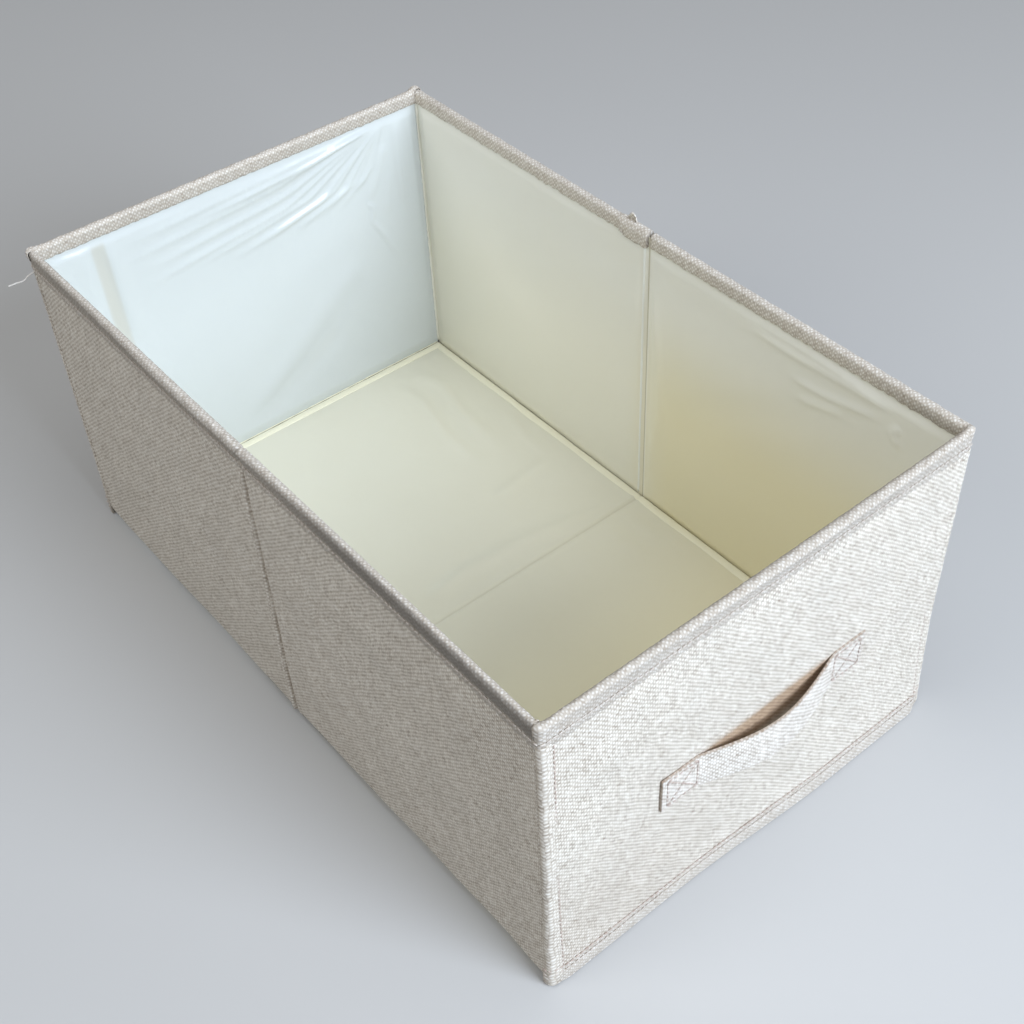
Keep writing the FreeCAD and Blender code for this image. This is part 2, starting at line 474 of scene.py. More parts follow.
def woven(name, pitches, gap, middle, light, soil_and_shade, relief=0.00028, fuzz=0.0):
    """Plain-woven slubby cloth. A third cloth value above 0 darkens it, for painted shade and some soiling;
    below 0 it is painted warm brown shade.
    """
    tree = Tree(name)
    s, t, marks_and_shade = tree.split(tree.cloth())
    height = weave_height(tree, s, t, *yarn_count(tree, s, t, pitches), fuzz)
    # Above 0: painted shade in grooves, along edges and under the rim's roll, with some soiling, darkening
    # the yarns.
    soil_and_shade_share = tree.span(marks_and_shade, 0.0, 1.0, 0.0, 1.0)
    shown = tree.add(soil_and_shade_share, -0.22, height)
    colour = tree.ramp(shown, (0.22, gap), (0.60, middle), (0.94, light))
    tone = tree.span(tree.noise(tree.join(s, t), 38.0, 3.0), 0.3, 0.7, 0.94, 1.03)
    colour = tree.mix(1.0, colour, tree.join(tone, tone, tone), "MULTIPLY")
    colour = tree.mix(tree.times(soil_and_shade_share, 0.75), colour, soil_and_shade)
    # Painted shade: below 0 a warm brown is multiplied in, for the shade behind the strap.
    colour = tree.mix(tree.span(marks_and_shade, 0.0, -0.5, 0.0, 1.0), colour, (0.60, 0.44, 0.31), "MULTIPLY")
    colour = tree.mix(tree.span(marks_and_shade, -0.5, -1.0, 0.0, 1.0), colour, (0.62, 0.55, 0.48), "MULTIPLY")
    tree.set(tree.shader, Base_Color=colour, Normal=tree.bumped(height, relief))
    tree.set(tree.shader, Roughness=tree.span(height, 0.3, 1.0, 0.97, 0.84))
    tree.set(tree.shader, Specular_IOR_Level=0.22, Sheen_Weight=0.12, Sheen_Roughness=0.55)
    return tree.material


def film(name, colour, deep, gloss):
    """Satin plastic film, clouded and finely wavy. A third cloth value above 0 is painted brown shade, below
    0 painted warm yellow shade.
    """
    tree = Tree(name)
    s, t, marks_and_shade = tree.split(tree.cloth())
    flat = tree.join(s, t)
    clouds = tree.noise(flat, 14.0, 3.0)
    fine = tree.noise(flat, 260.0, 3.0)
    slow = tree.noise(flat, 60.0, 2.0)
    tint = tree.mix(tree.add(clouds, 0.6, 0.05), colour, deep)
    # Painted shade: brown in dents, valleys and folds, and warm yellow where the film lies in shade.
    tint = tree.mix(tree.span(marks_and_shade, 0.0, 1.0, 0.0, 1.0), tint, (0.50, 0.44, 0.30))
    tint = tree.mix(tree.span(marks_and_shade, 0.0, -1.0, 0.0, 1.0), tint, (0.86, 0.79, 0.55))
    normal = tree.bumped(slow, 0.0010, 0.35)
    normal = tree.bumped(fine, 0.00006, 0.5, normal)
    tree.set(tree.shader, Base_Color=tint, Normal=normal)
    tree.set(tree.shader, Roughness=tree.add(clouds, 0.10, gloss))
    tree.set(tree.shader, Specular_IOR_Level=0.42, Coat_Weight=0.15, Coat_Roughness=0.28)
    return tree.material


def thread(name, colour, dark):
    """Twisted sewing thread."""
    tree = Tree(name)
    spot = tree.place()
    twist = tree.noise(spot, 2600.0, 2.0)
    tint = tree.mix(tree.span(tree.noise(spot, 420.0, 2.0), 0.35, 0.65, 0.0, 1.0), colour, dark)
    tree.set(tree.shader, Base_Color=tint, Roughness=0.7)
    tree.set(tree.shader, Normal=tree.bumped(twist, 0.0001), Sheen_Weight=0.15)
    return tree.material


def greyboard(name):
    """Recycled grey cardboard: flecked, fibrous and matt."""
    tree = Tree(name)
    spot = tree.place()
    fleck = tree.noise(spot, 900.0, 4.0, 0.7)
    cloud = tree.noise(spot, 60.0, 3.0)
    tint = tree.ramp(fleck, (0.35, (0.20, 0.19, 0.175)), (0.6, (0.33, 0.315, 0.29)))
    tint = tree.mix(tree.span(cloud, 0.3, 0.7, 0.0, 0.4), tint, (0.27, 0.25, 0.225))
    tree.set(tree.shader, Base_Color=tint, Roughness=0.95)
    tree.set(tree.shader, Normal=tree.bumped(fleck, 0.0001, 0.6))
    return tree.material


def felted(name, colour, dark):
    """Thin pressed cloth with a grid of small bonded points."""
    tree = Tree(name)
    cloth = tree.cloth()
    s, t = tree.split(cloth)[:2]
    dot_s = tree.math("SINE", tree.times(s, 2400.0))
    dot_t = tree.math("SINE", tree.times(t, 2400.0))
    dots = tree.times(dot_s, dot_t)
    fibre = tree.noise(cloth, 1500.0, 4.0, 0.7)
    height = tree.add(fibre, 0.8, tree.span(dots, -0.2, 0.8, 0.4, 0.0))
    tint = tree.mix(tree.span(fibre, 0.35, 0.65, 0.0, 1.0), dark, colour)
    tint = tree.mix(tree.span(dots, 0.2, 0.7, 0.0, 0.5), tint, dark)
    tree.set(tree.shader, Base_Color=tint, Roughness=0.92, Normal=tree.bumped(height, 0.00012))
    return tree.material


yarns = (warp_pitch, weft_pitch)
tape_yarns = (tape_warp_pitch, tape_weft_pitch)
gap_brown = (0.25, 0.185, 0.13)
# Colours that a third cloth value above 0 darkens towards: painted shade, with some soiling.
soil_and_shade_brown = (0.36, 0.27, 0.205)
soil_and_shade_grey = (0.17, 0.16, 0.146)
linen = woven("outer_linen", yarns, gap_brown, (0.72, 0.66, 0.57), (0.96, 0.93, 0.865), soil_and_shade_brown)
tape_colours = ((0.40, 0.33, 0.26), (0.67, 0.61, 0.53), (0.93, 0.90, 0.845))
tape_linen = woven("binding_linen", tape_yarns, *tape_colours, soil_and_shade_grey, 0.00030, 0.06)
strap_linen = woven("strap_linen", yarns, gap_brown, (0.76, 0.705, 0.63), (0.98, 0.96, 0.92), soil_and_shade_brown)
liner_film = film("liner_film", (0.90, 0.89, 0.81), (0.87, 0.845, 0.73), 0.285)
# The back liner is the same film, painted cooler and bluer for the daylight that falls on it.
daylit_film = film("liner_film_painted_daylight", (0.66, 0.695, 0.69), (0.64, 0.675, 0.66), 0.13)
floor_film = film("floor_film", (0.82, 0.797, 0.67), (0.77, 0.738, 0.59), 0.31)
# The fold roll is the same film, painted paler and cooler as a highlight.
highlight_film = film("liner_film_painted_highlight", (0.93, 0.94, 0.89), (0.90, 0.90, 0.83), 0.285)
tape_film = film("floor_tape", (0.94, 0.905, 0.72), (0.90, 0.855, 0.64), 0.42)
sewing_thread = thread("sewing_thread", (0.60, 0.50, 0.44), (0.46, 0.36, 0.31))
pale_thread = thread("pale_thread", (0.88, 0.86, 0.82), (0.76, 0.72, 0.66))
seam_thread = thread("seam_thread", (0.70, 0.645, 0.59), (0.56, 0.49, 0.43))
under_cloth = felted("under_cloth", (0.62, 0.61, 0.585), (0.45, 0.44, 0.42))
board_material = greyboard("greyboard")


# Outer cloth


def pocket(name, side, u, t, relief, material, turn=0.0, foot=None, marks_and_shade=None):
    """A wall's outer cloth: its face, and the edges that it turns round the board.

    turn is the angle of the weave, foot says how far the lower edge lifts, and the last argument gives
    painted shade and browning on it.
    """
    inset = 0.0004
    across, up = np.meshgrid(u, t, indexing="ij")
    if foot:
        up = up + foot(across) * (1 - smooth((up - t[0]) / 0.05))
    depth = cover_depth + edge_round(across, up, u, t) + relief(across, up) * below_strip(up)
    face = place(side, across, depth, up)
    front = np.arange(across.size).reshape(across.shape)
    border = ring(front)
    flat_u = across.reshape(-1)[border]
    flat_t = up.reshape(-1)[border]
    low_t = flat_t.min() + inset
    inner_depth = liner_back - 0.00005
    lip = place(side, flat_u, inner_depth, flat_t)
    in_u = np.clip(flat_u, u[0] + inset, u[-1] - inset)
    turned = place(side, in_u, inner_depth, np.clip(flat_t, low_t, t[-1] - inset))
    back_u = np.clip(across, u[0] + inset, u[-1] - inset)
    back_depth = np.maximum(board_depth - 0.00003, depth + 0.0003)
    back = place(side, back_u, back_depth, np.clip(up, low_t, t[-1] - inset))
    loop_a = across.size + np.arange(len(border))
    loop_b = loop_a + len(border)
    rear = front + across.size + 2 * len(border)
    faces = [quads(front), quads(rear), joined([border, loop_a, loop_b, ring(rear)])]
    points = np.concatenate([face.reshape(-1, 3), lip, turned, back.reshape(-1, 3)])
    marked_and_shaded = marks_and_shade(across, up) if marks_and_shade else 0 * up
    cs, sn = math.cos(turn), math.sin(turn)
    cloth = np.stack([across * cs + up * sn, up * cs - across * sn, marked_and_shaded], -1).reshape(-1, 3)
    whole = np.concatenate([cloth, cloth[border], cloth[border], cloth])
    return make_piece(name, points, np.concatenate(faces).tolist(), whole, material, 50)


def edge_distance(across, up, u, t):
    """How far each point of a panel lies from the panel's nearest edge."""
    return np.minimum(np.minimum(across - u[0], u[-1] - across), np.minimum(up - t[0], t[-1] - up))


def edge_round(across, up, u, t):
    """How far the cloth draws in at the panel's edges."""
    return 0.0004 * (1 - smooth(np.clip(edge_distance(across, up, u, t), 0, None) / 0.0012))


def below_strip(up):
    """1 on the open wall, fading to 0 under the rim's strip, where the cloth lies flat."""
    return smooth((outer_leaf_foot + 0.003 - up) / 0.010)


def foot_flare(side, u, t):
    """How far an end wall's cloth stands out near its foot: most in the front's right half."""
    reach = 0.0012 + 0 * u
    if side == "front":
        reach = 0.0028 + 0.0042 * smooth((u + 0.05) / 0.11)
    ends = 0.35 + 0.65 * smooth((half_x - np.abs(u)) / 0.012)
    return reach * ends * np.clip(1 - t / 0.085, 0, 1) ** 1.5


def front_relief(u, t):
    """The front wall bows a little outwards, more so at its foot and beside its strap."""
    slack = -foot_flare("front", u, t)
    middle = -0.0009 * bump(u, 0.04, 0.09) * smooth(t / 0.2)
    soft = -0.00035 * (1 + waves(u, t, 3, 0.09)) * bump(t, 0.10, 0.09)
    left_pull = ([(-0.045, 0.105), (-0.08, 0.14), (-0.12, 0.165)], 0.008, -0.0004)
    right_pull = ([(0.060, 0.088), (0.095, 0.06), (0.130, 0.03)], 0.010, -0.0005)
    return slack + middle + soft + creases(u, t, left_pull, right_pull)


def strap_shade_and_browning(u, t):
    """Below 0: painted warm brown shade in the gap behind the strap. Above 0: the cloth a little browner
    towards the lower left.
    """
    # Painted shade: the cloth seen behind the bowed strap, strongest just above its top edge.
    reach = smooth(strap_bow(u) / 0.3)
    fade = smooth((t - tab_low.z) / 0.01) * smooth((tab_high.z + 0.0020 - t) / 0.0050)
    shade = 0.46 * reach * fade
    lower_left_browning = 0.14 * smooth((0.02 - u) / 0.12) * smooth((0.12 - t) / 0.10)
    return lower_left_browning * (1 - reach * fade) - shade


def fold_groove_shade(u, t):
    """Painted shade: a brown line down the whole height of a long wall's fold, beside its groove."""
    return 0.5 * bump(u, -0.0005, 0.0008) + 0 * t


def back_relief(u, t):
    """The back wall is softly uneven and stands out a little at its foot."""
    soft = -0.0004 * (1 + waves(u, t, 13, 0.09)) * bump(t, 0.10, 0.09)
    return soft - foot_flare("back", u, t)


def side_relief(seed, slack):
    """A long wall's cloth dips into its fold and lies loose in soft slanting creases beside it."""

    def relief(u, t):
        groove = 0.0016 * bump(u, 0.0, 0.0011)
        ridges = -0.0014 * bump(u, 0.0024, 0.0014) - 0.0004 * bump(u, -0.0028, 0.0018)
        soft = -0.0003 * (1 + waves(u, t, seed, 0.07)) * smooth((0.225 - np.abs(u)) / 0.04)
        loose = creases(
            u,
            t,
            ([(-0.004, 0.185), (-0.045, 0.13), (-0.10, 0.075)], 0.010, -slack),
            ([(-0.006, 0.150), (-0.040, 0.10), (-0.085, 0.04)], 0.009, -0.8 * slack),
            ([(-0.010, 0.190), (-0.07, 0.16), (-0.14, 0.14)], 0.012, -0.7 * slack),
            ([(-0.004, 0.100), (-0.03, 0.06), (-0.05, 0.02)], 0.009, -0.8 * slack),
            ([(0.006, 0.180), (0.03, 0.12), (0.035, 0.05)], 0.012, -0.6 * slack),
        )
        belly = -0.0012 * bump(u, -0.10, 0.06) * bump(t, 0.06, 0.07)
        return groove + ridges + soft + belly + loose

    return relief


def make_covers():
    """The outer cloth of all four walls. The long walls' cloth runs on over its fold."""
    along = stations(-corner_run - 0.0028, corner_run + 0.0028, 0.0025)
    up = stations(end_foot + 0.001, cover_top, 0.0025)
    for side, relief in (("front", front_relief), ("back", back_relief)):
        marks = strap_shade_and_browning if side == "front" else None
        cover = pocket(side + "_cover", side, along, up, relief, linen, marks_and_shade=marks)
        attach(cover, side + "_wall")
        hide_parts(side + "_outer_cover")
    along = stations(side_end, -side_end, 0.0025, fine=[0.0])
    up = stations(side_foot, cover_top, 0.0025)
    for side, seed, slack in (("left", 21, 0.0010), ("right", 34, 0.0006)):
        foot = foot_arch if side == "left" else foot_hang
        relief = side_relief(seed, slack)
        cover = pocket(side + "_cover", side, along, up, relief, linen, weave_turn, foot, fold_groove_shade)
        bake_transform(cover)
        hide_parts(side + "_front_outer_cover", side + "_back_outer_cover")


def foot_arch(u):
    """How far the left wall's lower edge lifts: most in its front half, and not at its corners."""
    front = 0.0046 * smooth((u + 0.225) / 0.03) * smooth((-0.035 - u) / 0.05)
    fold = -0.0015 * bump(u, 0.004, 0.014)
    return front + fold + 0.0010 * smooth((u - 0.02) / 0.03) * smooth((0.215 - u) / 0.03)


def foot_hang(u):
    """The right wall's cloth hangs evenly, close to what the box stands on."""
    return -side_hang + 0.0002 * np.sin(u * 60)


# Rim binding


def lean_of(side, u):
    """How far the rim's roll leans outwards, from place to place along a wall."""
    if side == "front":
        return 0.0019 * bump(u, 0.03, 0.085) * smooth((half_x - np.abs(u)) / 0.03)
    if side == "left":
        return 0.0019 * bump(u, 0.06, 0.075) + 0.0005 * bump(u, 0.0, 0.012)
    return 0.0002 + 0 * u


def outer_leaf(side, u, outer):
    """Depth and height of the strip's outer leaf, and how far each point is up its loose part."""
    low = outer_leaf_foot
    jitter = 0.00045 * waves(u, 0 * u, 5, 0.006) + 0.0003 * waves(u, 0 * u, 6, 0.0025)
    height = low + jitter * (1 - outer) + (shoulder - low) * outer
    climb = np.clip((height - stitch_line) / (shoulder - stitch_line), 0, 1)
    knob = 0.00014 * waves(u, height, 8, 0.0028)
    sewn_in = 0.00022 if side == "front" else 0.0004
    ridge = sewn_in * bump(height, stitch_line - 0.0014, 0.0020)
    groove = sewn_in * bump(height, stitch_line, 0.0007)
    depth = 0.0002 - roll_out(side, u) * climb**1.2 - ridge + groove + knob
    depth = depth + (cover_depth - 0.0003) * (1 - smooth(outer / 0.12))
    depth = depth - lean_of(side, u) * smooth((height - stitch_line - 0.001) / 0.007)
    return depth, height, climb


def roll_out(side, u):
    """How far the strip's roll stands proud of the wall."""
    proud = roll_proud * {"front": 0.35, "left": 0.5, "right": 0.9, "back": 0.9}[side]
    if side == "left":
        proud = proud - 0.3 * roll_proud * smooth((np.abs(u) + side_end + 0.006) / 0.006)
    return proud


def over_rim(side, u, angle):
    """Depth and height of the strip where it rolls over the rim."""
    middle = wall_depth / 2
    out = lean_of(side, u) + roll_out(side, u) - 0.0004
    depth = middle - (middle + 0.0004) * np.cos(angle) - out * (0.5 + 0.5 * np.cos(angle))
    height = shoulder + (top - shoulder) * np.sin(angle) + 0.00022 * waves(u, 40 * angle, 9, 0.0026)
    if side in ("front", "back"):
        tall = 0.0010 + (0.0012 if side == "back" else 0.0) * (u > 0)
        height = height + tall * bump(np.abs(u), turn_end - 0.0026, 0.0034)
    return depth, height


def inner_leaf_shape(side, u, inner):
    """Depth and height of the strip's inner leaf."""
    jitter = (0.0002 if side == "back" else 0.0004) * waves(u, 0 * u, 15, 0.005)
    height = shoulder + (inner_foot + jitter - shoulder) * inner
    knob = 0.00014 * waves(u, height, 18, 0.0028)
    depth = wall_depth + 0.0002 + 0.0003 * np.sin(math.pi * inner) + knob
    return depth, height


def binding_section(side, along):
    """Depth, height and wear of the folded strip, from its outer foot to its inner foot."""
    u = along[:, None]
    angle = np.linspace(0.12, 0.88, 9)[None] * math.pi
    inner = np.linspace(0, 1, 9)[None]
    depth_a, height_a, climb = outer_leaf(side, u, np.linspace(0, 1, 24)[None])
    depth_b, height_b = over_rim(side, u, angle)
    depth_c, height_c = inner_leaf_shape(side, u, inner)
    if side == "right":
        double = overlap_of(u, 0.0)
        depth_a = depth_a - 0.0004 * double
        depth_c = depth_c + 0.0010 * overlap_of(u, 0.006 * inner)
        height_b = height_b + 0.0005 * double
        height_c = height_c - 0.0018 * double * inner
    depth = np.concatenate([depth_a, depth_b, depth_c], 1)
    height = np.concatenate([height_a, height_b, height_c], 1)
    soil_and_shade = binding_shade(side, u, climb, angle / math.pi, inner)
    return depth, np.minimum(height, top + 0.0030), soil_and_shade


def binding_shade(side, u, climb, over, inner):
    """Painted shade on the strip: a dark band under the left roll and on the roll's outer side, darker inner
    leaves and inner top, most on the front wall, and the right leaf darkest towards the front end.
    """
    if side == "left":
        most = 0.50 + 0.36 * smooth((-0.02 - u) / 0.08)
        outer_part = most * (0.35 + 0.80 * smooth(climb / 0.25))
        top_part = most * (1.10 - 0.92 * smooth((over - 0.30) / 0.18))
        return np.concatenate([outer_part, top_part, 0.25 + 0 * inner + 0 * u], 1)
    shares = {"front": (0.22, 0.62, 0.45), "right": (0.1, 0.02, 0.03), "back": (0.1, 0.08, 0.32)}
    low, high, leaf = shares[side]
    if side == "right":
        leaf = leaf + 0.40 * smooth((-0.150 - u) / 0.06) * smooth((inner + 0.2) / 0.8)
    top_part = low + (high - low) * smooth((over - 0.55) / 0.35) + 0 * u
    return np.concatenate([low + 0 * climb, top_part, leaf + 0 * inner + 0 * u], 1)


def overlap_of(u, slant):
    """1 where the strip's two ends lie over each other, beside the right wall's fold."""
    return smooth((u - 0.0004) / 0.0010) * smooth((0.0265 - slant - u) / 0.0008)


def strip_of(side, along, depth, height, put, leaf=0.00034, soil_and_shade=0.0):
    """A cloth strip's two faces, leaf apart, and where each point lies on the flat strip."""
    run = np.gradient(depth, axis=1)
    rise = np.gradient(height, axis=1)
    size = np.hypot(run, rise) + 1e-9
    seen = put(side, along[:, None], depth, height)
    hidden = put(side, along[:, None], depth + leaf * rise / size, height - leaf * run / size)
    steps = np.hypot(np.diff(depth, axis=1), np.diff(height, axis=1))
    across = np.concatenate([np.zeros((len(along), 1)), np.cumsum(steps, 1)], 1)
    s = along[:, None] + 0 * across
    cloth = np.stack([s, across, soil_and_shade + 0 * s], -1)
    return seen, hidden, cloth


def make_end_binding(side):
    """The strip over an end wall's rim, which turns both its corners, and its stitches."""
    along = stations(-turn_end, turn_end, 0.0016, fine=[-turn_end + 0.002, turn_end - 0.002])
    depth, height, soil_and_shade = binding_section(side, along)
    seen, hidden, cloth = strip_of(side, along, depth, height, place_round, soil_and_shade=soil_and_shade)
    piece = shell(side + "_binding", seen, hidden, cloth, tape_linen)
    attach(piece, side + "_wall")
    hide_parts(side + "_rim_binding")
    level = stitch_line + 0 * along
    line = place_round(side, along, -0.00012, level)
    out = line - place_round(side, along, 0.001, level)
    stitch_row(side + "_binding_stitches", side + "_wall", line, out, seam_thread)


def make_side_binding(side):
    """The strip over a long wall's rim, notched at the fold, and its stitches on each half."""
    along = stations(side_end - 0.0010, 0.0010 - side_end, 0.0016, fine=[0.0, 0.0235])
    depth, height, soil_and_shade = binding_section(side, along)
    notch_in, notch_down, notch_shade = (0.0018, 0.0009, 0.9) if side == "right" else (0.0008, 0.0004, 0.2)
    notch = bump(along, 0.0, 0.0009)[:, None]
    depth = depth + notch * (0.0005 - notch_in * smooth(depth / wall_depth))
    height = height - notch * notch_down
    # Painted shade in the notch at the fold.
    soil_and_shade = soil_and_shade + notch_shade * bump(along, 0.0002, 0.0011)[:, None]
    seen, hidden, cloth = strip_of(side, along, depth, height, place, soil_and_shade=soil_and_shade)
    piece = shell(side + "_binding", seen, hidden, cloth, tape_linen)
    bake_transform(piece)
    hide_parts(side + "_front_rim_binding", side + "_back_rim_binding")
    for half, low, high in (("front", side_end, -0.0025), ("back", 0.0025, -side_end)):
        run = np.linspace(low, high, 60)
        line = place(side, run, -0.00012, stitch_line)
        out = line - place(side, run, 0.001, stitch_line)
        stitch_row(f"{side}_{half}_binding_stitches", f"{side}_{half}", line, out, seam_thread)


# Welts and hems of the end walls


def make_welt(side, sign, word):
    """One upright corner's seam allowance, rolled round the corner, and the stitches beside it."""
    start = turn_end - welt_wide - 0.0045
    along = np.linspace(start, turn_end, 16)
    up = stations(end_foot + 0.001, outer_leaf_foot + 0.002, 0.0018)
    run, height = np.meshgrid(along, up, indexing="ij")
    across = (run - start) / (turn_end - start)
    roll = 0.0009 * np.sin(math.pi * np.clip((across - 0.12) / 0.88, 0, 1)) ** 0.8
    pucker = 0.00010 * waves(run, height, 40 + sign, 0.005) * (across > 0.1)
    lean = foot_flare(side, sign * run, height)
    depth = cover_depth + 0.0001 - lean - roll + pucker + 0.0002 * bump(across, 0.12, 0.07)
    seen = place_round(side, sign * run, depth, height)
    hidden = place_round(side, sign * run, depth + 0.0004, height)
    # Painted shade along the stitched groove beside the roll.
    cloth = np.stack([run, height, 0.35 * bump(across, 0.10, 0.05)], -1)
    piece = shell(f"{side}_{word}_welt", seen, hidden, cloth, linen)
    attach(piece, side + "_wall")
    groove = sign * (start + 0.12 * (turn_end - start))
    rise = np.linspace(hem_top, outer_leaf_foot, 60)
    line = place(side, groove, cover_depth - 0.00012 - foot_flare(side, groove, rise), rise)
    out = place(side, groove, 0.0, up[0]) - place(side, groove, 0.001, up[0])
    stitch_row(piece.name + "_stitches", side + "_wall", line, out, sewing_thread, 0.0036)
    return piece


def make_welts(side):
    """Seam allowances rolled round an end wall's two upright corners."""
    pieces = [make_welt(side, -1, "left"), make_welt(side, 1, "right")]
    for piece in pieces:
        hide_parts(side + "_corner_welts")


def hem_section(side, along):
    """Depth and height of the foot's tape, from its upper edge down and under the wall."""
    u = along[:, None]
    flare = foot_flare(side, u, 0.0)
    foot = 0.0016
    turn = 0.0014
    face = np.linspace(0, 1, 16)[None]
    jitter = 0.0004 * waves(u, 0 * u, 51, 0.006)
    height_a = hem_top + jitter * (1 - face) + (foot - hem_top) * face
    ribs = 0.00016 * np.sin((u * 0.8 + height_a * 0.6) * 2 * math.pi / 0.0027)
    swell = 0.0004 * np.sin(math.pi * np.clip((0.0108 - height_a) / 0.009, 0, 1))
    sewn_in = 0.0002 * bump(height_a, lower_row, 0.0006)
    depth_a = 0.00005 - swell - ribs - foot_flare(side, u, height_a) + sewn_in
    angle = np.linspace(0.1, 0.9, 5)[None] * math.pi / 2
    depth_b = turn - flare - turn * np.cos(angle)
    height_b = foot - (foot - 0.0001) * np.sin(angle)
    sole = np.linspace(0, 1, 5)[None]
    depth_c = (foot - flare) + (wall_depth - 0.0002 - foot + flare) * sole
    height_c = 0.0001 + 0 * depth_c
    depth = np.concatenate([depth_a, depth_b, depth_c], 1)
    height = np.concatenate([height_a + 0 * u, height_b + 0 * u, height_c], 1)
    return depth, height


def make_hem(side):
    """The tape round the foot of an end wall, with its two stitch lines."""
    along = stations(-turn_end, turn_end, 0.0018)
    depth, height = hem_section(side, along)
    seen, hidden, cloth = strip_of(side, along, depth[:, ::-1], height[:, ::-1], place_round, 0.0004, 0.10)
    piece = shell(side + "_hem", seen, hidden, cloth, tape_linen)
    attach(piece, side + "_wall")
    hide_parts(side + "_bottom_hem")
    rows = (
        ("upper", hem_top + 0.0012, cover_depth - 0.0008, sewing_thread),
        ("lower", lower_row, -0.0004, seam_thread),
    )
    for row, level, sunk, material in rows:
        height = level + 0 * along
        line = place_round(side, along, sunk - foot_flare(side, along, level), height)
        out = line - place_round(side, along, 0.002, height)
        stitch_row(f"{side}_hem_stitches_{row}", side + "_wall", line, out, material)


# Liner


def back_liner_relief(u, t):
    """Fan of soft wrinkles from the upper right corner, as the film was drawn at that corner."""
    anchor = (0.107, 0.200)
    ends = [(-0.093, 0.189), (-0.100, 0.177), (-0.084, 0.166), (-0.088, 0.155), (-0.050, 0.153)]
    ends += [(-0.024, 0.147), (0.000, 0.150), (0.024, 0.147), (0.046, 0.150), (-0.060, 0.184)]
    ends += [(0.064, 0.150), (0.080, 0.158), (-0.030, 0.186)]
    fan = []
    for x, z in ends:
        bend = (anchor[0] + 0.4 * (x - anchor[0]), anchor[1] + 0.75 * (z - anchor[1]) + 0.002)
        fan.append(([anchor, bend, (x, z)], 0.0013, 0.0010 if x < 0.04 else 0.0006, 2.2))
    zigzag = [(0.088, 0.146), (0.093, 0.140), (0.091, 0.130), (0.100, 0.114), (0.112, 0.086)]
    total = creases(
        u,
        t,
        *fan,
        ([(0.107, 0.184), (0.100, 0.165), (0.090, 0.144)], 0.0040, 0.0009),
        (zigzag, 0.0020, 0.0009),
        ([(0.109, 0.162), (0.104, 0.128)], 0.0030, 0.0006),
        ([(0.117, 0.201), (0.117, 0.165), (0.118, 0.128)], 0.0040, 0.0010, 0.5),
        ([(0.129, 0.201), (0.131, 0.13), (0.133, 0.005)], 0.0024, 0.0009),
        ([(-0.101, 0.199), (-0.100, 0.160), (-0.098, 0.115)], 0.0045, -0.0016),
        ([(-0.110, 0.200), (-0.110, 0.150), (-0.107, 0.100)], 0.0050, 0.0008),
        ([(-0.093, 0.198), (-0.091, 0.160), (-0.088, 0.115)], 0.0050, 0.0010),
        ([(-0.032, 0.018), (0.044, 0.080), (0.084, 0.110)], 0.0100, 0.0013),
        ([(-0.030, 0.012), (0.030, 0.046), (0.060, 0.062)], 0.0090, -0.0010),
    )
    return total + 0.0003 * waves(u, t, 61, 0.08)


def right_liner_relief(u, t):
    """The crescent beside the fold, and soft streaks near the top of the front half."""
    total = creases(
        u,
        t,
        ([(-0.003, 0.190), (-0.0124, 0.122), (-0.0151, 0.085), (-0.0044, 0.016)], 0.0036, 0.0011),
        ([(-0.186, 0.1934), (-0.157, 0.1926), (-0.114, 0.190), (-0.0765, 0.1908)], 0.0020, 0.0010),
        ([(-0.1726, 0.1966), (-0.120, 0.1975), (-0.0765, 0.1988)], 0.0016, 0.0008),
        ([(-0.178, 0.1846), (-0.138, 0.1766), (-0.114, 0.1753)], 0.0024, 0.0010),
        ([(-0.154, 0.1726), (-0.119, 0.1633)], 0.0026, 0.0009),
        ([(-0.138, 0.159), (-0.080, 0.128), (-0.023, 0.0925)], 0.0100, -0.0008),
        ([(-0.190, 0.187), (-0.186, 0.1806), (-0.192, 0.172)], 0.0024, 0.0011),
        ([(0.03, 0.03), (0.09, 0.10), (0.16, 0.15)], 0.0200, -0.0010),
    )
    return total + 0.00035 * waves(u, t, 71, 0.09)


def plain_liner_relief(seed):
    """A film that is only softly uneven."""

    def relief(u, t):
        return 0.0004 * waves(u, t, seed, 0.08)

    return relief


def pressed_flat(piece, side, depth):
    """Gives a loose film or roll its own mesh; the way in from its wall and an anchor at this depth in are
    worked out but not used.
    """
    inward = place(side, 0.0, 1.0, 0.0) - place(side, 0.0, 0.0, 0.0)
    anchor = place(side, 0.0, depth, 0.1)
    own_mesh(piece)


def liner_painted_shade(side, across, up, shape, fold_end):
    """Painted shade on the film: a finger's dent and the wrinkles' valleys darker at the back, a warm yellow
    shade low on the right wall, most in its front half, and a brown line at a fold.
    """
    tone = 0 * shape
    if side == "back":
        away = np.abs(across + 0.1005 - 0.03 * (0.2 - up))
        dent = smooth((0.0056 - away) / 0.0024)
        dent = dent * smooth((up - 0.108) / 0.012) * smooth((0.199 - up) / 0.004)
        tone = tone + 0.30 * dent + 0.10 * smooth((-shape - 0.0003) / 0.0008)
    if side == "right":
        front_share = 0.25 + 0.75 * smooth((0.02 - across) / 0.05)
        tone = tone - front_share * smooth((0.185 - up) / 0.10)
    if fold_end is not None:
        tone = tone + (1.0 - tone) * bump(np.abs(across - fold_end), 0.0, 0.0011)
    return tone


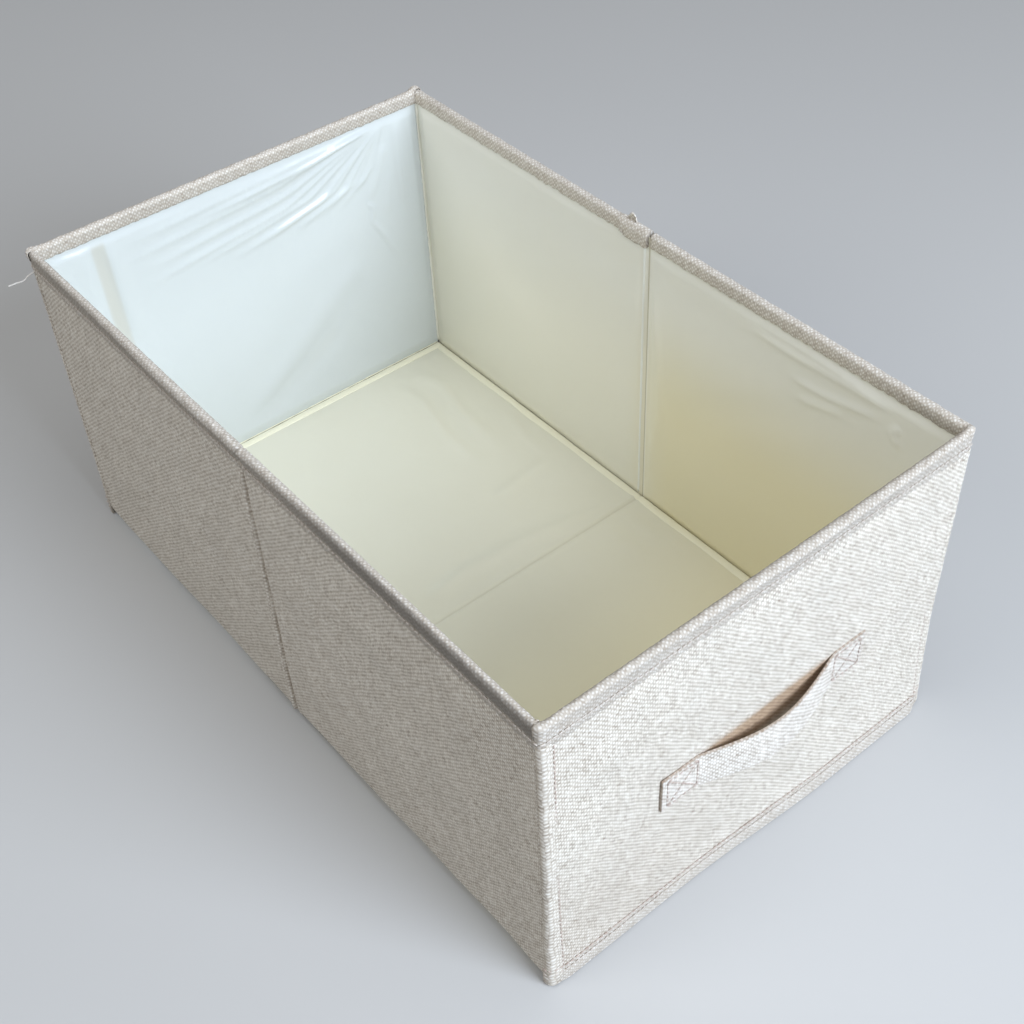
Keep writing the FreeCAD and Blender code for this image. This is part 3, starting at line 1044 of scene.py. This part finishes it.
def liner_panel(name, side, body, u, t, relief, fold=0):
    """One panel's film. fold says at which end the mid fold is: -1 start, 1 end, 0 none."""
    across, up = np.meshgrid(u, t, indexing="ij")
    if side == "left":
        up = up + (side_hang + foot_arch(across)) * (1 - smooth((up - t[0]) / 0.05))
    deepest = 0.0011
    shape = relief(across, up)
    shape = np.where(shape < 0, deepest * (np.exp(np.minimum(shape, 0) / deepest) - 1), shape)
    loose = smooth(edge_distance(across, up, u, t) / 0.009) * smooth((inner_foot - 0.0006 - up) / 0.006)
    inward = (shape + 0.0012) * loose + 0.00005
    if fold:
        near = np.abs(across - (u[-1] if fold > 0 else u[0]))
        inward += 0.0004 * bump(near, 0.0027, 0.0013) * smooth((inner_foot - 0.001 - up) / 0.004)
    seen = place(side, across, liner_depth + inward, up)
    hidden = place(side, across, np.full_like(inward, liner_back + 0.00002), up)
    # The third cloth value is painted shade on the film.
    tone = liner_painted_shade(side, across, up, shape, u[-1] if fold > 0 else None)
    cloth = np.stack([across, up, tone], -1)
    piece = shell(name, seen, hidden, cloth, daylit_film if side == "back" else liner_film)
    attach(piece, body)
    pressed_flat(piece, side, liner_back)
    return piece


def make_liners():
    """The film inside the walls, panel by panel, with the wrinkles that the photograph shows."""
    for side, step in (("front", 0.0018), ("back", 0.0011)):
        across = stations(-corner_run + 0.0002, corner_run - 0.0002, step)
        up = stations(end_foot + 0.0032, top - 0.0022, step)
        relief = back_liner_relief if side == "back" else plain_liner_relief(81)
        piece = liner_panel(side + "_liner_film", side, side + "_wall", across, up, relief)
        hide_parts(side + "_liner")
    up = stations(side_foot - side_hang, top - 0.0022, 0.0018)
    for side in ("left", "right"):
        relief = right_liner_relief if side == "right" else plain_liner_relief(82)
        for half, low, high, fold in (("front", side_end, -0.00005, 1), ("back", 0.00005, -side_end, -1)):
            name = f"{side}_{half}"
            across = stations(low, high, 0.0018, fine=[-0.0022 if fold > 0 else 0.0022])
            piece = liner_panel(name + "_liner_film", side, name, across, up, relief, fold)
            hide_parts(name + "_liner")


# Seam rolls


def bead(name, start, end, radius, material, body, node, seed, rough=0.16):
    """A sewn seam's rolled edge, uneven along its length."""
    start, end = np.array(start, float), np.array(end, float)
    count = max(8, int(np.linalg.norm(end - start) / 0.002))
    run = np.linspace(0, 1, count)[:, None]
    line = start + (end - start) * run
    uneven = 1 + rough * waves(run[:, 0] * np.linalg.norm(end - start), 0 * run[:, 0], seed, 0.006)
    piece = tube(name, line, radius * uneven, material, 10)
    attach(piece, body)
    if node:
        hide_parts(node)
    return piece


def make_seams():
    """The rolled edges at the corners, at the middle folds and at the foot of the end walls."""
    low = side_foot + 0.0005
    high = top - 0.0012
    for side, body, y in (("front", "front_wall", corner_y), ("back", "back_wall", -corner_y)):
        for sign, word in ((-1, "left"), (1, "right")):
            x = sign * (half_x - 0.0005)
            name = f"{side}_{word}_corner_seam"
            bead(name, (x, y, low), (x, y, high), 0.00045, linen, body, side + "_corner_seams", 91, 0.04)
            x = sign * (corner_run + 0.0001)
            ends = ((x, y, low), (x, y, inner_foot))
            piece = bead(f"{side}_{word}_corner_film", *ends, 0.0009, liner_film, body, None, 92)
            pressed_flat(piece, side, liner_depth)
    for side, sign in (("left", -1), ("right", 1)):
        x = sign * (half_x - liner_depth - 0.0002)
        ends = ((x, 0.0032, low), (x, 0.0032, inner_foot + 0.001))
        body, node = side + "_back", side + "_fold_seam"
        piece = bead(side + "_fold_roll", *ends, 0.0010, highlight_film, body, node, 93, 0.06)
        pressed_flat(piece, side, liner_depth)
    for side, y in (("front", corner_y), ("back", -corner_y)):
        ends = ((-floor_x + 0.0005, y, floor_top), (floor_x - 0.0005, y, floor_top))
        bead(side + "_floor_roll", *ends, 0.00042, tape_film, side + "_wall", side + "_floor_seam", 94)


# Floor panel


def floor_relief(x, y):
    """Ridges and valleys of the film on the floor, read off the photograph."""
    total = creases(
        x,
        y,
        ([(-0.034, 0.017), (0.0, 0.0226), (0.045, 0.019), (0.128, 0.0057)], 0.0055, 0.0022),
        ([(-0.03, 0.025), (0.022, 0.034), (0.067, 0.029), (0.131, 0.0045)], 0.0055, -0.0003),
        ([(0.058, 0.063), (0.117, 0.070)], 0.0045, 0.0014),
        ([(0.058, 0.0475), (0.117, 0.054)], 0.0050, -0.0003),
        ([(0.081, 0.206), (0.083, 0.174), (0.074, 0.136), (0.074, 0.081)], 0.0050, 0.0015),
        ([(0.098, 0.212), (0.106, 0.181), (0.097, 0.147), (0.0945, 0.086)], 0.0060, 0.0016),
        ([(0.124, 0.129), (0.115, 0.099), (0.115, 0.068)], 0.0045, 0.0008),
        ([(0.122, 0.217), (0.131, 0.206)], 0.0030, 0.0006),
        ([(0.097, -0.004), (0.097, -0.05)], 0.0050, 0.0005),
        ([(0.115, -0.004), (0.116, -0.04)], 0.0040, 0.0005),
    )
    return total + 0.0003 + 0.0002 * waves(x, y, 101, 0.09)


def make_floor_film(x, y):
    """The film over both boards, creased across the middle."""
    across, along = np.meshgrid(x, y, indexing="ij")
    edge = np.minimum(floor_x - np.abs(across), -floor_end - np.abs(along))
    lift = np.maximum(floor_relief(across, along), -0.0001) * smooth((edge - 0.004) / 0.01)
    lips = bump(along, 0.003, 0.0015) + bump(along, -0.003, 0.0015)
    level = film_top + lift + (-0.0005 * bump(along, 0.0, 0.0010) + 0.0003 * lips)
    seen = place("floor", across, level, along)
    hidden = place("floor", across, np.minimum(film_back + 0.00003, level - 0.0002), along)
    # Painted shade: the front half, in the front wall's shadow, is painted a warm yellow, and a brown line
    # runs along the crease.
    painted_warm_shade = 0.80 * smooth((-0.02 - along) / 0.12) * (1 - bump(along, 0.0, 0.001))
    tone = 0.3 * bump(along, 0.0, 0.0008) - painted_warm_shade
    piece = shell("floor_film", seen, hidden, np.stack([across, along, tone], -1), floor_film)
    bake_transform(piece)
    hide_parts("floor_front_liner", "floor_back_liner")


def make_floor():
    """Floor panel: film over both boards, raised edge tape, and the cloth under them."""
    inner = 0.0006
    x = stations(-floor_x + inner, floor_x - inner, 0.0022)
    y = stations(floor_end + inner, -floor_end - inner, 0.0022, fine=[0.0])
    make_floor_film(x, y)
    for sign, word in ((-1, "left"), (1, "right")):
        piece = side_tape("floor_tape_" + word, y, sign)
        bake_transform(piece)
        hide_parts("floor_front_edge_tape", "floor_back_edge_tape")
    run = stations(-floor_x + 0.001, floor_x - 0.001, 0.003)
    for sign, half in ((-1, "front"), (1, "back")):
        piece = end_tape("floor_tape_" + half, run, sign)
        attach(piece, "floor_" + half)
    for sign, half in ((-1, "front"), (1, "back")):
        make_under_cloth(half, sign)


def tape_section():
    """Across the tape: distance in from the panel's edge, and height, from its outer foot."""
    out = np.array([0.0, 0.0, 0.0001, 0.0004, 0.0010, 0.0024, 0.0040, 0.0050, tape_wide])
    rise = np.array([0.0004, 0.0020, 0.0034, 0.0040, 0.0043, 0.0043, 0.0041, 0.0039, 0.0036])
    return out, rise


def tape_piece(name, across, run, height, rise, sign, crosswise):
    """The tape's mesh; crosswise tape runs along x, the other along y."""
    along = run[:, None] + 0 * across
    leaf = 0.0003
    inner = across - sign * leaf * (rise < tape_shoulder)
    under = height - leaf * (rise > tape_shoulder)
    out = tape_section()[0][None] + 0 * across
    sheets = ((across, along, height), (inner, along, under), (out, along, 0 * out))
    if crosswise:
        sheets = [(b, a, c) for a, b, c in sheets]
    seen, hidden, cloth = (np.stack(each, -1) for each in sheets)
    piece = shell(name, seen, hidden, cloth, tape_film)
    return piece


def side_tape(name, run, sign):
    """The tape along one long edge of the floor panel, crushed at the crease."""
    out, rise = tape_section()
    raised = rise > tape_shoulder
    wavy = 0.00012 * waves(run, 0 * run, 110 + sign, 0.02)[:, None]
    crush = 0.0006 * bump(run, 0.0, 0.0012)[:, None]
    wide = 1 + 0.05 * waves(run, 0 * run, 120 + sign, 0.05)[:, None]
    across = sign * (floor_x - out[None] * wide)
    height = rise[None] + wavy * raised - crush * raised
    return tape_piece(name, across, run, height, rise, sign, False)


def end_tape(name, run, sign):
    """The tape along one end of the floor panel."""
    out, rise = tape_section()
    raised = rise > tape_shoulder
    wavy = 0.00012 * waves(run, 0 * run, 130 + sign, 0.02)[:, None]
    across = sign * (-floor_end - out[None]) + 0 * wavy
    height = rise[None] + 0.0002 * raised + wavy * raised
    return tape_piece(name, across, run, height, rise, sign, True)


def make_under_cloth(half, sign):
    """The cloth that closes one floor board's pocket from below."""
    reach = floor_x - 0.0004
    x = stations(-reach, reach, 0.004)
    low, high = sorted((sign * 0.0002, sign * -floor_end - sign * 0.0002))
    y = stations(low, high, 0.004)
    across, along = np.meshgrid(x, y, indexing="ij")
    edge = np.minimum(reach - np.abs(across), np.minimum(along - low, high - along))
    sag = 0.0001 + 0.00025 * (1 - smooth(edge / 0.0015)) + 0.00008 * (1 + waves(across, along, 140, 0.05))
    seen = np.stack([across, along, sag], -1)
    hidden = np.stack([across, along, np.full_like(sag, under_top - 0.00002)], -1)
    cloth = np.stack([across, along, 0 * sag], -1)
    piece = shell(f"floor_{half}_under", seen, hidden, cloth, under_cloth)
    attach(piece, "floor_" + half)
    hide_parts(f"floor_{half}_under_cover")


# Strap handle


def strap_bow(x):
    """How slack the strap hangs along its length: 0 at its tabs, 1 in the middle."""
    start, end = span_low.x - 0.0018, span_high.x + 0.0023
    share = np.clip((x - start) / (end - start), 0, 1)
    return np.sin(math.pi * share**1.06)


def strap_part(name, low, high, tip):
    """A length of the double sewn strap, with rounded edges."""
    run = stations(low, high, 0.0014)
    wide = (tab_high.z - tab_low.z) / 2
    middle = (tab_high.z + tab_low.z) / 2
    half_share = np.array([0.35, 0.6, 0.78, 0.88, 0.95, 0.985, 1])
    half_fat = np.array([1, 1, 0.86, 1.0, 0.85, 0.55, 0.15])
    share = np.concatenate([-half_share[::-1], [0], half_share])
    fat = 0.0009 * np.concatenate([half_fat[::-1], [1], half_fat])
    bow = strap_bow(run)[:, None]
    height = middle + wide * share[None] + 0 * bow
    height = height + 0.0005 * waves(run, 0 * run, 150, 0.05)[:, None]
    upward = (height - middle) / wide
    base = 0.0009 + bow * (0.0084 - 0.0010 * upward)
    front = -half_y + 0.0004 - base - fat[None] * 0.95
    rear = -half_y + 0.0004 - base + fat[None] * 0.9
    x = run[:, None] + 0 * height
    hung = height - bow * (0.0062 + 0.0002 * upward)
    seen = np.stack([x, front, hung], -1)
    hidden = np.stack([x, rear, hung], -1)
    # Painted shade: a brown line along the strap's top edge, fainter along its lower edge, and at its tip.
    edge = smooth((share[None] - 0.90) / 0.07) + 0.5 * smooth((-share[None] - 0.93) / 0.05)
    edge = edge + 0.8 * smooth((0.0007 - np.abs(run - tip)) / 0.0006)[:, None]
    cloth = np.stack([x, height, np.clip(0.75 * edge + 0 * x, 0, 0.9)], -1)
    piece = shell(name, seen, hidden, cloth, strap_linen)
    return piece


def make_strap():
    """One sewn strip: its tabs sewn flat to the front wall, its free span bowed off it."""
    middle = (span_low.x + span_high.x) / 2
    parts = (
        ("strap_left", tab_low.x, middle, span_low.x, tab_low.x, 1),
        ("strap_right", middle, tab_high.x, span_high.x, tab_high.x, -1),
    )
    for name, low, high, edge, tip, way in parts:
        piece = strap_part(name, low, high, tip)
        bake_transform(piece)
        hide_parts("handle_strap", "handle_sewn_ends")
    for word, low, high in (("left", -0.0645, -0.0445), ("right", 0.0530, 0.0730)):
        make_crossed_box(word, low, high)


def make_crossed_box(word, low, high):
    """The box of stitches with a cross in it that holds one end of the strap."""
    foot, head = tab_low.z + 0.0025, tab_high.z - 0.0025
    corners = [(low, foot), (high, foot), (high, head), (low, head), (low, foot), (high, head)]
    lines = list(zip(corners[:-1], corners[1:])) + [((high, foot), (low, head))]
    share = np.linspace(0, 1, 12)[:, None]
    for k, (a, b) in enumerate(lines):
        x, z = (np.array(a) + (np.array(b) - np.array(a)) * share).T
        line = np.stack([x, -half_y - 0.0015 + 0 * x, z], -1)
        stitch_row(f"strap_{word}_stitches_{k}", "front_wall", line, (0, -1, 0), sewing_thread, 0.0030)


# Small sewing details


def make_knots():
    """A twisted lump of cloth at each inner corner of the rim, where the strips meet."""
    for side, body, way in (("front", "front_wall", 1), ("back", "back_wall", -1)):
        for sign, word in ((-1, "left"), (1, "right")):
            angle = np.linspace(0, 1.7 * math.pi, 26)
            size = 0.00105
            x = sign * (half_x - 0.0033) + size * np.cos(angle) * 0.9
            y = way * (corner_y + 0.0004) + size * np.sin(angle) * 0.9
            z = top - 0.0012 + 0.0009 * np.sin(1.5 * angle)
            line = np.stack(np.broadcast_arrays(x, y, z), -1)
            radius = 0.00062 * np.sin(np.linspace(0.35, math.pi - 0.35, 26)) ** 0.5
            piece = tube(f"{side}_{word}_rim_knot", line, radius, tape_linen, 9)
            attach(piece, body)


def make_tuft():
    """The raised corner of the binding's end, and its frayed yarns, above the right wall's rim."""
    share = np.linspace(0, 1, 9)
    y = (0.0125 + 0.0090 * share)[:, None]
    tall = (0.0072 * np.clip(1 - np.abs(share - 0.42) / 0.58, 0, 1) ** 0.8 * (share > 0))[:, None]
    rise = np.linspace(0, 1, 6)[None]
    z = top - 0.0020 + (0.0014 + tall) * rise
    x = half_x - 0.0007 - 0.0010 * rise**2 + 0.0004 * np.sin(9 * share)[:, None] * rise
    seen = np.stack(np.broadcast_arrays(x, y, z), -1)
    hidden = np.stack(np.broadcast_arrays(x - 0.0006, y, z), -1)
    cloth = np.stack(np.broadcast_arrays(y, z, 0.05 + 0 * z), -1)
    piece = shell("tuft_flap", seen, hidden, cloth, tape_linen)
    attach(piece, "right_back")
    made = np.random.default_rng(23)
    for k in range(5):
        lean = made.standard_normal(2) * 0.0007
        tall = 0.0010 + 0.0016 * made.random()
        run = np.linspace(0, 1, 7)[:, None]
        foot = np.array([half_x - 0.0012, 0.0150 + 0.0012 * k, top + 0.0004 + 0.0030 * (k < 3)])
        line = foot + run * np.array([lean[0], lean[1], tall])
        line[:, :2] += 0.0003 * np.sin(run * 3.0 + k)
        piece = tube(f"tuft_{k}", line, 0.00040 * (1.15 - run[:, 0]), tape_linen, 6)
        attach(piece, "right_back")


def make_overlap_edge():
    """The turned edge of the binding's end, slanting down the inner face of the right wall."""
    run = np.array([0.0262, 0.0260, 0.0236, 0.0205])
    depth = np.array([0.45 * wall_depth, wall_depth + 0.0004, wall_depth + 0.0012, wall_depth + 0.0015])
    height = np.array([top + 0.0003, top - 0.0022, top - 0.0060, inner_foot - 0.0012])
    fine = np.linspace(0, 3, 16)
    line = [np.interp(fine, np.arange(4), each) for each in (run, depth, height)]
    piece = tube("binding_end_edge", place("right", *line), 0.0004, tape_linen, 7)
    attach(piece, "right_back")


def make_loose_thread():
    """A stray end of sewing thread at the back left corner."""
    knots = [(0, 0, 0), (-0.0035, 0.0010, -0.0010), (-0.0070, 0.0022, -0.0045), (-0.0105, 0.0040, -0.0048)]
    knots.append((-0.0155, 0.0055, -0.0058))
    curve = bpy.data.curves.new("loose_thread_path", "CURVE")
    curve.dimensions = "3D"
    spline = curve.splines.new("NURBS")
    spline.points.add(len(knots) - 1)
    start = Vector((-half_x + 0.0002, -corner_y + 0.0010, outer_leaf_foot + 0.0012))
    for point, offset in zip(spline.points, knots):
        point.co = (*(start + Vector(offset)), 1.0)
    spline.order_u = 3
    spline.use_endpoint_u = True
    spline.resolution_u = 12
    holder = bpy.data.objects.new("loose_thread_path", curve)
    flat = bpy.data.meshes.new_from_object(holder)
    line = np.array([vertex.co for vertex in flat.vertices])
    bpy.data.objects.remove(holder)
    piece = tube("loose_thread", line, 0.00042, pale_thread, 7)
    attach(piece, "back_wall")


# Boards keep their CAD shape


def dress_boards():
    """Grey cardboard on every board; their shape is the CAD's own."""
    for name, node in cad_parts.items():
        if name.endswith("_board"):
            node.data.materials.clear()
            node.data.materials.append(board_material)


# Floor of the scene, light and camera


def make_stage():
    """A plain pale floor, a little darker where the camera sees it than in the light it throws back."""
    tree = Tree("pale_floor")
    tone = tree.span(tree.noise(tree.place(), 1.4, 2.0), 0.3, 0.7, 0.97, 1.0)
    tree.set(tree.shader, Roughness=0.85, Specular_IOR_Level=0.2)
    pale = tree.mix(1.0, (0.55, 0.545, 0.535), tree.join(tone, tone, tone), "MULTIPLY")
    path = tree.nodes.new("ShaderNodeLightPath").outputs
    shown = tree.math("MAXIMUM", path["Is Camera Ray"], path["Is Glossy Ray"])
    shown = tree.math("MAXIMUM", shown, path["Is Transmission Ray"])
    tree.set(tree.shader, Base_Color=tree.mix(shown, (0.26, 0.25, 0.235), pale))
    size = 6.0
    mesh = bpy.data.meshes.new("floor_plane")
    corners = [(-size, -size, 0), (size, -size, 0), (size, size, 0), (-size, size, 0)]
    mesh.from_pydata(corners, [], [(0, 1, 2, 3)])
    mesh.materials.append(tree.material)
    plane = bpy.data.objects.new("floor_plane", mesh)
    plane.location.z = cad_low.z - 0.0001
    bpy.context.scene.collection.objects.link(plane)


def make_lights():
    """A large soft window light, two weaker fills and an even dim room."""
    world = bpy.data.worlds.new("soft_room")
    world.use_nodes = True
    bpy.context.scene.world = world
    room = world.node_tree.nodes["Background"].inputs
    room["Color"].default_value = (1.0, 0.99, 0.97, 1.0)
    room["Strength"].default_value = 0.25
    for name, spot, power, size, colour in (
        ("window", (0.35, -2.05, 1.24), 61.0, 1.5, (0.87, 0.98, 1.14)),
        ("left_fill", (-1.65, 0.5, 1.4), 10.8, 1.2, (0.98, 1.0, 1.02)),
        ("top_fill", (-0.1, -0.5, 2.3), 14.0, 2.0, (0.95, 1.0, 1.06)),
    ):
        lamp = bpy.data.lights.new(name, "AREA")
        lamp.shape = "DISK"
        lamp.size = size
        lamp.energy = power
        lamp.color = colour
        holder = bpy.data.objects.new(name, lamp)
        holder.location = spot
        holder.rotation_euler = (Vector((0, 0, 0.1)) - Vector(spot)).to_track_quat("-Z", "Y").to_euler()
        bpy.context.scene.collection.objects.link(holder)


def make_camera():
    """The photograph's viewing angle, fitted to the box's corners and the floor's grout lines."""
    azimuth, elevation, roll = (math.radians(x) for x in (-38.982, 44.827, -1.880))
    spot = (-0.3608, -0.5147, 0.6852)
    focal = 1465.6
    picture = 1024.0
    middle_x, middle_y = 550.0, 526.2
    sensor = 36.0
    level = math.cos(elevation)
    back = Vector((math.sin(azimuth) * level, -math.cos(azimuth) * level, math.sin(elevation)))
    right = (-back).cross(Vector((0, 0, 1))).normalized()
    up = right.cross(-back)
    turned = math.cos(roll) * right + math.sin(roll) * up
    raised = -math.sin(roll) * right + math.cos(roll) * up
    lens = bpy.data.cameras.new("camera")
    lens.sensor_width = sensor
    lens.lens = focal / picture * sensor
    lens.shift_x = (picture / 2 - middle_x) / picture
    lens.shift_y = (middle_y - picture / 2) / picture
    lens.clip_start = 0.01
    holder = bpy.data.objects.new("camera", lens)
    axes = Matrix((turned, raised, back)).transposed().to_4x4()
    holder.matrix_world = Matrix.Translation(spot) @ axes
    bpy.context.scene.collection.objects.link(holder)
    bpy.context.scene.camera = holder
    bpy.context.scene.view_settings.view_transform = "Standard"


make_camera()
make_stage()
make_lights()
make_covers()
for end_side in ("front", "back"):
    make_end_binding(end_side)
for long_side in ("left", "right"):
    make_side_binding(long_side)
for end_side in ("front", "back"):
    make_welts(end_side)
for end_side in ("front", "back"):
    make_hem(end_side)
make_liners()
make_seams()
make_floor()
make_strap()
make_knots()
make_tuft()
make_overlap_edge()
make_loose_thread()
dress_boards()
